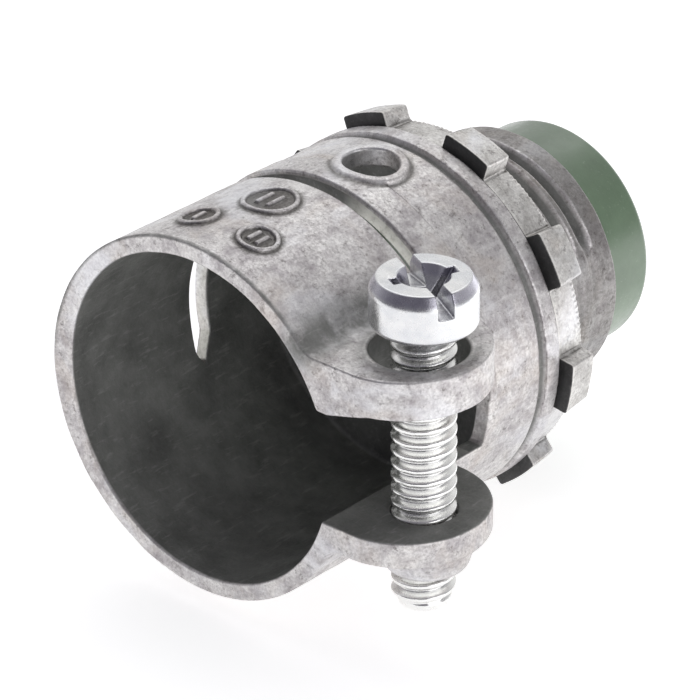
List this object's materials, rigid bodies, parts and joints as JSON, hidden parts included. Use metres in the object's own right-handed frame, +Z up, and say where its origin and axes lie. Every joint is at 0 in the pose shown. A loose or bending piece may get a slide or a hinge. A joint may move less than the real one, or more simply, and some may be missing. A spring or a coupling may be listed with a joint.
{
  "type": "conduit squeeze connector",
  "caption": "Die-cast squeeze connector for flexible metal conduit, with a clamp strap and screw, a threaded nose, a locknut and an insulated throat.",
  "frame": {"origin": "on the fitting's axis, in the plane of the shoulder that seats on the box wall", "axes": "+Y along the fitting's axis, out of the threaded nose; +Z up along the clamp screw, towards its head; +X from the barrel to the clamp's ears"},
  "size_m": [0.0367, 0.0415, 0.0308],
  "materials": {
    "cast_zinc": "as-cast zinc alloy, mottled, satin",
    "nut_zinc": "as-cast zinc alloy, satin",
    "plated_steel": "bright zinc plate",
    "green_plastic": "matte moulded"
  },
  "bodies": {
    "root": {"cast_body": "cast_zinc", "nose": "cast_zinc", "insulated_throat": "green_plastic"},
    "strap": {"clamp_strap": "cast_zinc"},
    "screw_travel": {"screw_shank": "plated_steel"},
    "screw": {"screw_head": "plated_steel"},
    "locknut_travel": {"locknut_sleeve": "nut_zinc"},
    "locknut": {"locknut_ring": "nut_zinc"}
  },
  "joints": [
    {"name": "strap_flex", "type": "hinge", "parent": "root", "child": "strap", "pos_m": [-0.01201, -0.0178, -0.00485], "axis": [0, 1, 0], "range_deg": [0, 6.1]},
    {"name": "screw_slide", "type": "slide", "parent": "root", "child": "screw_travel", "axis": [0, 0, -1], "range_m": [0, 0.0045]},
    {"name": "screw_turn", "type": "hinge", "parent": "screw_travel", "child": "screw", "pos_m": [0.0166, -0.0179, 0.0112], "axis": [0, 0, -1], "range_deg": [0, 1531]},
    {"name": "locknut_slide", "type": "slide", "parent": "root", "child": "locknut_travel", "axis": [0, 1, 0], "range_m": [0, 0.0118]},
    {"name": "locknut_turn", "type": "hinge", "parent": "locknut_travel", "child": "locknut", "pos_m": [0, 0.0015, 0], "axis": [0, 1, 0], "range_deg": [0, 2342]}
  ],
  "couplings": [
    {"joint": "screw_turn", "follows": "screw_slide", "rad_per_m": 5937.1},
    {"joint": "strap_flex", "follows": "screw_slide", "rad_per_m": 23.27},
    {"joint": "locknut_turn", "follows": "locknut_slide", "rad_per_m": 3463.2}
  ]
}
